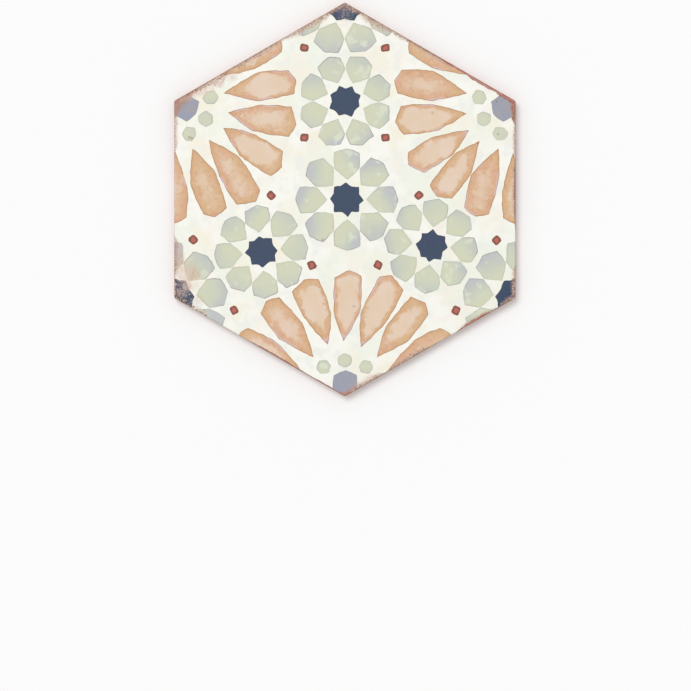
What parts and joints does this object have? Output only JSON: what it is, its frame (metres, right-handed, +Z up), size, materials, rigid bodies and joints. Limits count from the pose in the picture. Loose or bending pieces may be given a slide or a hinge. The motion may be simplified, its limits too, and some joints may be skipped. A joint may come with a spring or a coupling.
{
  "type": "hexagon floor tile",
  "caption": "Hexagonal glazed ceramic floor tile with a traditional star-and-rosette pattern, a worn rim and a back keyed for adhesive.",
  "frame": {"origin": "centre of the hexagon, on the plane the tile's back rests on", "axes": "+Z up out of the glazed face, +Y towards the corner that is uppermost in the picture, +X towards the upright side on its right"},
  "size_m": [0.285, 0.3286, 0.01],
  "materials": {
    "ground_glaze": "satin",
    "fired_clay": "matte",
    "sage_glaze": "satin",
    "peach_glaze": "satin",
    "navy_glaze": "satin",
    "periwinkle_glaze": "satin",
    "red_glaze": "satin"
  },
  "bodies": {
    "root": {"hexagon_tile": "ground_glaze"}
  },
  "joints": []
}
